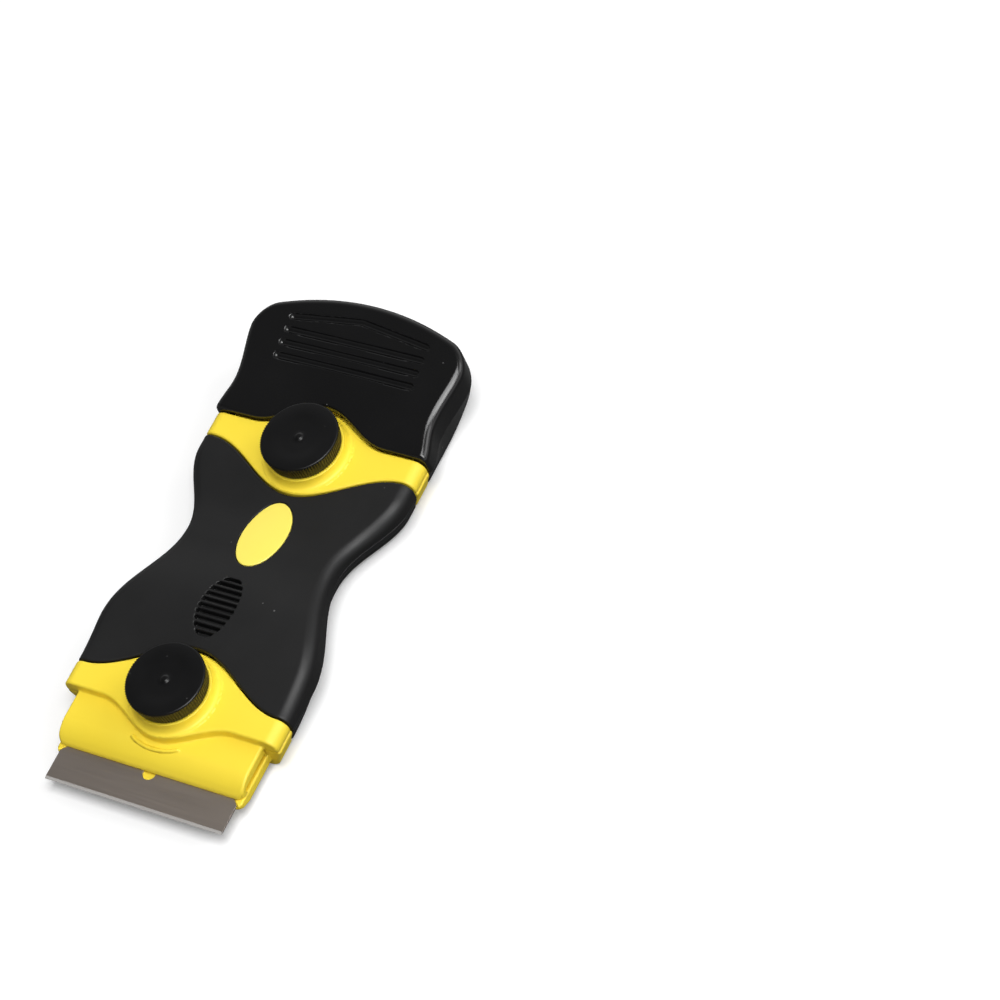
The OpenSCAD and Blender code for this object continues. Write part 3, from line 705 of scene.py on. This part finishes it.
def coreField(x, y, z):
    ends = np.minimum(localFront(coreEndField)(x, y, z), localRear(coreEndField)(x, y, z))
    halfX, halfY, middle, halfZ = jaws["spine"]
    spine = np.maximum(np.maximum(np.abs(x) - halfX, np.abs(y) - halfY), np.abs(z - middle) - halfZ)
    spine = np.maximum(spine, covers["bossRadius"] + jaws["bossGap"] - bossField(x, y))
    return np.minimum(ends, spine)


frontClamp = moulded("frontClampPlate", localFront(clampField), jaws["frontGrid"], clampYellow)
stand(frontClamp, "front_clamp", "clamp_yellow", "front_clamp_plate")
rearClamp = moulded("rearClampPlate", localRear(clampField), jaws["rearGrid"], clampYellow)
stand(rearClamp, "rear_clamp", "clamp_yellow", "rear_clamp_plate")
core = moulded("coreFrame", coreField, jaws["coreGrid"], clampYellow)
stand(core, "handle", "clamp_yellow", "core_frame")

# blades
blade = {
    "half": 21.5,
    "tailHalf": 19.7,
    "tailCut": 0.8,
    "edge": 23.3,
    "shoulder": 16.6,
    "back": 7.9,
    "bevel": 0.6,
    "bevelLap": 0.02,
    "low": 4.0,
    "thick": 0.4,
    "land": 0.05,
    "holeRadius": 1.5,
    "holeY": 15.6,
    "holeSteps": 64,
    "rim": 0.04,
}


def bladePiece(name):
    narrow = blade["half"] - blade["tailHalf"]
    front = blade["edge"] - blade["bevel"]
    right = [
        (blade["half"], -front),
        (blade["half"], -blade["shoulder"]),
        (blade["tailHalf"], -blade["shoulder"] + narrow),
        (blade["tailHalf"], -blade["back"] - blade["tailCut"]),
        (blade["tailHalf"] - blade["tailCut"], -blade["back"]),
    ]
    outline = right + [(-x, y) for x, y in right[::-1]]
    turns = [2 * math.pi * i / blade["holeSteps"] for i in range(blade["holeSteps"])]
    r = blade["holeRadius"]
    hole = [(r * math.cos(a), r * math.sin(a) - blade["holeY"]) for a in turns[::-1]]
    curve = bpy.data.curves.new(name + "Outline", "CURVE")
    curve.dimensions = "2D"
    curve.fill_mode = "BOTH"
    curve.extrude = (blade["thick"] / 2 - blade["rim"]) * mm
    curve.bevel_depth = blade["rim"] * mm
    curve.offset = -blade["rim"] * mm
    for points in (outline, hole):
        line = curve.splines.new("POLY")
        line.points.add(len(points) - 1)
        for knot, (x, y) in zip(line.points, points):
            knot.co = (x * mm, y * mm, 0, 1)
        line.use_cyclic_u = True
    sheet = bpy.data.objects.new(name + "Sheet", curve)
    bpy.context.scene.collection.objects.link(sheet)
    mesh = bpy.data.meshes.new_from_object(sheet.evaluated_get(bpy.context.evaluated_depsgraph_get()))
    bpy.data.objects.remove(sheet)
    middle = blade["low"] + blade["thick"] / 2
    made = bmesh.new()
    made.from_mesh(mesh)
    bmesh.ops.translate(made, verts=made.verts, vec=(0, 0, middle * mm))
    for face in made.faces:
        face.smooth = False
        face.material_index = 0
    # ground edge: a wedge in front of the sheet, with a finish of its own: brush lines across it, and a
    # paler, less metallic tone that is a painted highlight showing it as a light line
    section = [(-front + blade["bevelLap"], blade["thick"] / 2), (-blade["edge"], blade["land"] / 2)]
    loop = section + [(y, -z) for y, z in section[::-1]]
    ends = []
    for side in (-1, 1):
        ends.append([made.verts.new((side * blade["half"] * mm, y * mm, (middle + z) * mm)) for y, z in loop])
    for i in range(4):
        j = (i + 1) % 4
        made.faces.new((ends[0][i], ends[0][j], ends[1][j], ends[1][i])).material_index = 1
    made.faces.new(ends[0][::-1]).material_index = 1
    made.faces.new(ends[1]).material_index = 1
    bmesh.ops.recalc_face_normals(made, faces=made.faces)
    mesh.materials.clear()  # before the faces are written, because it resets their slots
    mesh.materials.append(bladeSteel)
    mesh.materials.append(groundEdgeWithHighlight)
    made.to_mesh(mesh)
    made.free()
    piece = bpy.data.objects.new(name, mesh)
    bpy.context.scene.collection.objects.link(piece)
    return piece


toFront = Matrix.Translation((0, -body["knobY"] * mm, 0))
toRear = Matrix.Translation((0, body["knobY"] * mm, 0))
frontBlade = bladePiece("frontBlade")
frontBlade.data.transform(toFront)
stand(frontBlade, "front_blade_body", "blade_steel", "front_blade")
rearBlade = bladePiece("rearBlade")
rearBlade.data.transform(toRear @ Matrix.Rotation(math.pi, 4, "Z"))
stand(rearBlade, "rear_blade_body", "blade_steel", "rear_blade")
print("blades made")

# knobs
knob = {
    "base": 10.05,
    "baseCut": 0.3,
    "neckRadius": 5.6,
    "neckFillet": ((0.0, 0.4), (0.12, 0.1), (0.4, 0.0)),  # outwards, below the disc
    "discLow": 12.25,
    "discTop": 16.15,
    "radius": 8.45,
    "draft": 0.45,
    "round": 0.3,
    "lowTurns": (0.5, 1.0, 1.57),
    "topTurns": (0.4, 0.8, 1.2, 1.57),
    "dishRadius": 6.4,
    "dishDepth": 0.14,
    "dishRun": 3.0,
    "dishSteps": 8,
    # radius and height over the dish, from the moat round the pip to its tip
    "pip": ((1.8, -0.05), (1.1, -0.06), (0.9, 0.0), (0.7, 0.24), (0.36, 0.3), (0.0, 0.27)),
    "teeth": 90,
    "toothSides": 8,
    "toothRadius": 0.2,
    "toothOut": 0.15,
    "toothLap": 0.2,
    "segments": 180,
}


def knobProfile():
    base, neck, cut = knob["base"], knob["neckRadius"], knob["baseCut"]
    low, top, edge = knob["discLow"], knob["discTop"], knob["round"]
    line = [(0.0, base), (neck - cut, base), (neck, base + cut)]
    line += [(neck + out, low - below) for out, below in knob["neckFillet"]]
    foot = knob["radius"] - knob["draft"] - edge
    line.append((foot, low))
    line += [(foot + edge * math.sin(a), low + edge - edge * math.cos(a)) for a in knob["lowTurns"]]
    rim = knob["radius"] - edge
    line.append((knob["radius"], top - edge))
    line += [(rim + edge * math.cos(a), top - edge + edge * math.sin(a)) for a in knob["topTurns"]]
    for i in range(knob["dishSteps"] + 1):
        t = i / knob["dishSteps"]
        fall = knob["dishDepth"] * (3 * t * t - 2 * t**3)
        line.append((knob["dishRadius"] - knob["dishRun"] * t, top - fall))
    floor = top - knob["dishDepth"]
    line += [(r, floor + rise) for r, rise in knob["pip"]]
    return line


def latheMesh(name, profile, segments, material):
    verts, faces, rows = [], [], []
    for r, z in profile:
        if r < 1e-6:
            rows.append([len(verts)])
            verts.append((0, 0, z * mm))
        else:
            rows.append(list(range(len(verts), len(verts) + segments)))
            turns = [2 * math.pi * i / segments for i in range(segments)]
            verts += [(r * math.cos(a) * mm, r * math.sin(a) * mm, z * mm) for a in turns]
    for a, b in zip(rows, rows[1:]):
        for i in range(segments):
            j = (i + 1) % segments
            if len(a) == 1:
                faces.append((a[0], b[j], b[i]))
            elif len(b) == 1:
                faces.append((a[i], a[j], b[0]))
            else:
                faces.append((a[i], a[j], b[j], b[i]))
    return smoothMesh(name, verts, faces, material)


# a geometry tree with its input and output sockets made
def newTree(name, inputs):
    tree = bpy.data.node_groups.new(name, "GeometryNodeTree")
    tree.interface.new_socket("Geometry", in_out="INPUT", socket_type="NodeSocketGeometry")
    for label, kind in inputs:
        tree.interface.new_socket(label, in_out="INPUT", socket_type="NodeSocket" + kind)
    tree.interface.new_socket("Geometry", in_out="OUTPUT", socket_type="NodeSocketGeometry")
    return tree, nodeOf(tree, "NodeGroupInput").outputs, nodeOf(tree, "NodeGroupOutput").inputs


def realAndPainted(tree, shapes, finishSocket, out):
    real = nodeOf(tree, "GeometryNodeRealizeInstances")
    feed(tree, real.inputs["Geometry"], shapes)
    paint = nodeOf(tree, "GeometryNodeSetMaterial")
    feed(tree, paint.inputs["Geometry"], real.outputs["Geometry"])
    feed(tree, paint.inputs["Material"], finishSocket)
    feed(tree, out["Geometry"], paint.outputs["Geometry"])


# knurl: small teeth instanced round the disc's side
def knurlTree():
    sizes = ("Radius", "Tooth Radius", "Tooth Height", "Tooth Middle", "Lean")
    inputs = [("Teeth", "Int"), *[(label, "Float") for label in sizes], ("Finish", "Material")]
    tree, into, out = newTree("knurlTeeth", inputs)
    ring = nodeOf(tree, "GeometryNodeMeshCircle", fill_type="NONE")
    feed(tree, ring.inputs["Vertices"], into["Teeth"])
    feed(tree, ring.inputs["Radius"], into["Radius"])
    place = nodeOf(tree, "ShaderNodeCombineXYZ")
    feed(tree, place.inputs["Z"], into["Tooth Middle"])
    lift = nodeOf(tree, "GeometryNodeTransform")
    feed(tree, lift.inputs["Geometry"], ring.outputs["Mesh"])
    feed(tree, lift.inputs["Translation"], place.outputs["Vector"])
    tooth = nodeOf(tree, "GeometryNodeMeshCylinder", fill_type="TRIANGLE_FAN")
    feed(tree, tooth.inputs["Vertices"], knob["toothSides"])
    feed(tree, tooth.inputs["Radius"], into["Tooth Radius"])
    feed(tree, tooth.inputs["Depth"], into["Tooth Height"])
    lean = nodeOf(tree, "ShaderNodeCombineXYZ")
    feed(tree, lean.inputs["Y"], into["Lean"])
    leant = nodeOf(tree, "GeometryNodeTransform")
    feed(tree, leant.inputs["Geometry"], tooth.outputs["Mesh"])
    feed(tree, leant.inputs["Rotation"], lean.outputs["Vector"])
    number = nodeOf(tree, "GeometryNodeInputIndex")
    step = maths(tree, "DIVIDE", 2 * math.pi, into["Teeth"])
    spin = nodeOf(tree, "ShaderNodeCombineXYZ")
    feed(tree, spin.inputs["Z"], maths(tree, "MULTIPLY", number.outputs["Index"], step))
    put = nodeOf(tree, "GeometryNodeInstanceOnPoints")
    feed(tree, put.inputs["Points"], lift.outputs["Geometry"])
    feed(tree, put.inputs["Instance"], leant.outputs["Geometry"])
    feed(tree, put.inputs["Rotation"], spin.outputs["Vector"])
    join = nodeOf(tree, "GeometryNodeJoinGeometry")
    feed(tree, join.inputs["Geometry"], into["Geometry"])
    feed(tree, join.inputs["Geometry"], put.outputs["Instances"])
    realAndPainted(tree, join.outputs["Geometry"], into["Finish"], out)
    return tree


knurl = knurlTree()


def knobPiece(name):
    piece = latheMesh(name, knobProfile(), knob["segments"], knobBlack)
    teeth = piece.modifiers.new("knurl", "NODES")
    teeth.node_group = knurl
    height = knob["discTop"] - knob["discLow"] - 2 * knob["round"]
    radius = knob["radius"] - knob["draft"] / 2 + knob["toothOut"] - knob["toothRadius"]
    setInput(teeth, "Teeth", knob["teeth"])
    setInput(teeth, "Radius", radius * mm)
    setInput(teeth, "Tooth Radius", knob["toothRadius"] * mm)
    setInput(teeth, "Tooth Height", (height + knob["toothLap"]) * mm)
    setInput(teeth, "Tooth Middle", (knob["discTop"] + knob["discLow"]) / 2 * mm)
    setInput(teeth, "Lean", math.atan2(knob["draft"], height))
    setInput(teeth, "Finish", knobBlack)
    return plainMesh(piece)


frontKnob = knobPiece("frontKnob")
frontKnob.data.transform(toFront)
stand(frontKnob, "front_knob_and_screw", "knob_black", "front_knob")
rearKnob = knobPiece("rearKnob")
rearKnob.data.transform(toRear)
stand(rearKnob, "rear_knob_and_screw", "knob_black", "rear_knob")
print("knobs made")

# cap
cap = {
    "reach": 34.5,
    "mouth": 4.7,
    "mouthHalf": 26.2,
    "mouthRound": (0.4, 0.9),  # on the top and at the sides
    "mouthSide": (17.0, 21.0, 24.0),  # where the side of the mouth starts, and where its round grows
    "neckHalf": 24.7,
    "neckY": 13.0,
    "flareHalf": 26.3,
    "flareY": 25.5,
    "endCurve": 0.0078,
    "cornerRound": 5.0,
    "top": 11.2,
    "rise": 5.6,
    "round": 1.7,
    "baseRound": (1.8, 3.6),  # at the mouth and at the end
    "draft": 0.8,
    "keelY": 14.3,
    "keelRise": 4.0,
    "wall": 1.6,
    "cavityHalf": 22.9,
    "cavityEnd": 28.9,
    "cavityCorner": 3.0,
    "cavityRound": 0.25,
    "roof": (9.6, 13.65),  # at the mouth and at the end
    "grooves": [18.9, 21.9, 24.9, 27.9],
    "bend": 2.0,  # of the last groove
    "grooveHalf": 16.5,
    "grooveWidth": 1.5,
    "grooveRound": 0.12,
    "grid": ((-26.8, 34.4, -0.2), (26.8, 64.8, 17.0), 0.3, 0.4),
}


# half width at a distance s behind the knob
def capHalf(s):
    behind = np.clip(s - cap["neckY"], 0, None) / (cap["flareY"] - cap["neckY"])
    flare = cap["flareHalf"] - (cap["flareHalf"] - cap["neckHalf"]) * bell(behind)
    along = np.clip(s - cap["mouth"], 0, None) / (cap["neckY"] - cap["mouth"])
    return flare + (cap["mouthHalf"] - cap["neckHalf"]) * bell(along)


def capTop(s):
    return cap["top"] + cap["rise"] * (s - cap["mouth"]) / (cap["reach"] - cap["mouth"])


def capTail(s):
    return (np.maximum(s - cap["keelY"], 0) / (cap["reach"] - cap["keelY"])) ** 2


def capLow(s):
    return cap["keelRise"] * capTail(s)


def between(pair, share):
    return pair[0] + (pair[1] - pair[0]) * share


def capMouth(x, s, z):
    mouthTop = (waveOut(x) + body["partGap"] - s) / steepness(waveOut, x)
    mouthLow = body["armOut"] + body["partGap"] - s
    mouth = np.where(z > body["seam"], mouthTop, mouthLow)
    return np.where(np.abs(x) > cap["mouthSide"][0], np.maximum(mouthTop, mouthLow), mouth)


def capRoom(x, s, z):
    room = roundMax(np.abs(x) - cap["cavityHalf"], s - cap["cavityEnd"], cap["cavityCorner"])
    share = (s - cap["mouth"]) / (cap["cavityEnd"] - cap["mouth"])
    ceiling = between(cap["roof"], np.clip(share, 0, 1))
    share = (s - cap["keelY"]) / (cap["cavityEnd"] - cap["keelY"])
    ground = cap["wall"] + capLow(cap["cavityEnd"]) * np.clip(share, 0, 1)
    return np.maximum(np.maximum(room, ground - z), z - ceiling)


def capField(x, y, z):
    s = y - body["knobY"]
    low = capLow(s)
    baseRound = between(cap["baseRound"], capTail(s))
    mouthBase = cap["baseRound"][0]
    level = (capTop(s) - cap["round"] + low + mouthBase) / 2
    draft = cap["draft"] + capHalf(s) - cap["neckHalf"]
    fall = draft * np.clip((level - z) / (level - low - mouthBase), 0, 1)
    side = (np.abs(x) - capHalf(s) + fall) / steepness(capHalf, s)
    end = s - cap["reach"] + cap["endCurve"] * x**2
    plan = roundMax(side, end, cap["cornerRound"])
    top = z - capTop(s) + body["crown"] * (x / capHalf(s)) ** 2
    shape = roundMax(roundMax(plan, top, cap["round"]), (low - z) / steepness(capLow, s), baseRound)
    start, stop = cap["mouthSide"][1:]
    atSide = np.clip((np.abs(x) - start) / (stop - start), 0, 1)
    shape = roundMax(shape, capMouth(x, s, z), between(cap["mouthRound"], atSide))
    shape = roundMax(shape, -capRoom(x, s, z), cap["cavityRound"])
    for middle in cap["grooves"]:
        bent = cap["bend"] * (1 - np.abs(x) / cap["grooveHalf"]) if middle == cap["grooves"][-1] else 0
        far = np.hypot(np.maximum(np.abs(x) - cap["grooveHalf"], 0), s - middle - bent)
        cut = np.hypot(far, top) - cap["grooveWidth"] / 2
        shape = roundMax(shape, -cut, cap["grooveRound"])
    return shape


rearCap = moulded("rearCap", capField, cap["grid"], capBlack)
stand(rearCap, "cap", "cap_black", "rear_cap")

# cover screws
coverScrew = {
    "head": (2.4, 0.65, 0.55),  # radius, middle height, half height
    "headRound": 0.25,
    "shank": (1.25, 3.9, 2.9),
    "cross": (1.35, 0.3, 0.75),  # half length, half width, depth
    "crossRound": 0.06,
    "grid": ((-2.5, -2.5, 0), (2.5, 2.5, 7), 0.14, 0.3),
}


def screwField(x, y, z):
    r = np.hypot(x, y)
    radius, middle, half = coverScrew["head"]
    head = roundMax(r - radius, np.abs(z - middle) - half, coverScrew["headRound"])
    radius, middle, half = coverScrew["shank"]
    shank = np.maximum(r - radius, np.abs(z - middle) - half)
    long, wide, depth = coverScrew["cross"]
    cross = np.minimum(
        np.maximum(np.abs(x) - long, np.abs(y) - wide), np.maximum(np.abs(y) - long, np.abs(x) - wide)
    )
    return np.minimum(roundMax(head, -np.maximum(cross, z - depth), coverScrew["crossRound"]), shank)


def placeTree():
    tree, into, out = newTree("placeScrews", [("Screw", "Object"), ("Finish", "Material")])
    info = nodeOf(tree, "GeometryNodeObjectInfo")
    feed(tree, info.inputs["Object"], into["Screw"])
    put = nodeOf(tree, "GeometryNodeInstanceOnPoints")
    feed(tree, put.inputs["Points"], into["Geometry"])
    feed(tree, put.inputs["Instance"], info.outputs["Geometry"])
    realAndPainted(tree, put.outputs["Instances"], into["Finish"], out)
    return tree


screwShape = moulded("coverScrewShape", screwField, coverScrew["grid"], screwSteel)
screwPoints = [(x * mm, y * mm, 0) for x, y in covers["screws"]]
coverScrews = smoothMesh("coverScrews", screwPoints, [], screwSteel)
placing = coverScrews.modifiers.new("place", "NODES")
placing.node_group = placeTree()
setInput(placing, "Screw", screwShape)
setInput(placing, "Finish", screwSteel)
plainMesh(coverScrews)
bpy.data.objects.remove(screwShape)
stand(coverScrews, "handle", "screw_steel", "cover_screws")
print("cover screws made")

# clamp screws and nuts show their solids
for name in ("front_screw", "rear_screw", "front_nut", "rear_nut"):
    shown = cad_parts[name]
    shown.data.materials.clear()
    shown.data.materials.append(screwSteel)

# camera, floor and light
view = {
    "place": (0.35445, -0.24812, 0.55417),
    "right": (0.8645, 0.4206, -0.2751),
    "down": (0.2222, -0.811, -0.5412),
    "ahead": (-0.4507, 0.4068, -0.7946),
    "lens": 122.4,
    "sensor": 36.0,
}
camData = bpy.data.cameras.new("camera")
camData.sensor_width = view["sensor"]
camData.lens = view["lens"]
cam = bpy.data.objects.new("camera", camData)
right, up, back = Vector(view["right"]), -Vector(view["down"]), -Vector(view["ahead"])
cam.matrix_world = Matrix.Translation(view["place"]) @ Matrix((right, up, back)).transposed().to_4x4()
bpy.context.scene.collection.objects.link(cam)
bpy.context.scene.camera = cam

studio = {
    "floor": 0.86,
    "floorHalf": 4.0,
    "floorRough": 0.85,
    "floorSheen": 0.05,
    "floorMirroredShade": 0.12,  # painted shade: the floor's tone for every ray but the camera's, so the object's sides mirror shade and take up little bounce
    "nearGlow": 0.2,  # for the camera only
    "farGlow": 0.8,  # added far from the object, seen in mirror images too
    "farRun": (0.15, 0.7),
    "horizon": 1.0,
    "zenith": 0.08,
    "bands": (0.2, 0.95),  # heights between which the backdrop fades out
    "shade": 0.25,  # what is left of the backdrop in front and on the left
    "shadeBand": (-0.6, 0.3),
    "shadeToward": (0.707, 0.707, 0.0),
    # place, size, power
    "keyBox": ((0.25, -0.05, 1.0), (0.6, 0.6), 8.6),
    "rightBox": ((0.7, 0.5, 0.6), (0.5, 0.5), 2.2),
    "edgeCard": ((0.72, -0.14, 0.82), (0.5, 0.5), 8.0),
}


def paleFloor():
    material, tree, shader = newFinish("paleFloor")
    shader.inputs["Roughness"].default_value = studio["floorRough"]
    shader.inputs["Specular IOR Level"].default_value = studio["floorSheen"]
    shader.inputs["Emission Color"].default_value = (1, 1, 1, 1)
    path = nodeOf(tree, "ShaderNodeLightPath").outputs
    # painted shade: the floor is pale to the camera and dark to the rays that light the object and are
    # mirrored in it
    shadeTone, seen = [(*[studio[key]] * 3, 1) for key in ("floorMirroredShade", "floor")]
    feed(tree, shader.inputs["Base Color"], colourMix(tree, path["Is Camera Ray"], shadeTone, seen))
    away = nodeOf(tree, "ShaderNodeVectorMath", operation="LENGTH")
    feed(tree, away.inputs[0], nodeOf(tree, "ShaderNodeTexCoord").outputs["Object"])
    spread = ramp(tree, away.outputs["Value"], studio["farRun"], (0, studio["farGlow"]), "SMOOTHSTEP")
    mirrored = maths(tree, "MAXIMUM", path["Is Glossy Ray"], path["Is Transmission Ray"])
    shownRays = maths(tree, "MAXIMUM", path["Is Camera Ray"], mirrored)
    far = maths(tree, "MULTIPLY", shownRays, spread)
    glow = maths(tree, "MULTIPLY_ADD", path["Is Camera Ray"], studio["nearGlow"], far)
    feed(tree, shader.inputs["Emission Strength"], glow)
    return material


half = studio["floorHalf"]
floorCorners = [(-half, -half, 0), (half, -half, 0), (half, half, 0), (-half, half, 0)]
floor = smoothMesh("floor", floorCorners, [(0, 1, 2, 3)], paleFloor())


# white backdrop round the horizon that fades to a dark ceiling
def studioWorld():
    world = bpy.data.worlds.new("studio")
    world.use_nodes = True
    tree = world.node_tree
    place = nodeOf(tree, "ShaderNodeTexCoord").outputs["Generated"]
    split = nodeOf(tree, "ShaderNodeSeparateXYZ")
    feed(tree, split.inputs["Vector"], place)
    fade = ramp(tree, split.outputs["Z"], studio["bands"], (studio["horizon"], studio["zenith"]))
    toward = nodeOf(tree, "ShaderNodeVectorMath", operation="DOT_PRODUCT")
    feed(tree, toward.inputs[0], place)
    feed(tree, toward.inputs[1], studio["shadeToward"])
    dim = ramp(tree, toward.outputs["Value"], studio["shadeBand"], (studio["shade"], 1), "SMOOTHSTEP")
    white = nodeOf(tree, "ShaderNodeMix", data_type="FLOAT")
    feed(tree, white.inputs["Factor"], nodeOf(tree, "ShaderNodeLightPath").outputs["Is Camera Ray"])
    feed(tree, white.inputs["A"], maths(tree, "MULTIPLY", fade, dim))
    feed(tree, white.inputs["B"], 1.0)
    feed(tree, tree.nodes["Background"].inputs["Color"], white.outputs["Result"])
    return world


bpy.context.scene.world = studioWorld()


def softBox(name):
    place, size, power = studio[name]
    data = bpy.data.lights.new(name, "AREA")
    data.shape = "RECTANGLE"
    data.size, data.size_y = size
    data.energy = power
    lamp = bpy.data.objects.new(name, data)
    lamp.location = place
    lamp.rotation_euler = (-Vector(place)).to_track_quat("-Z", "Y").to_euler()
    bpy.context.scene.collection.objects.link(lamp)
    return lamp


softBox("keyBox")
softBox("rightBox")
softBox("edgeCard").visible_diffuse = False  # only shows in the sheen of the edges

bpy.context.scene.view_settings.view_transform = "Standard"
print("camera and light set")
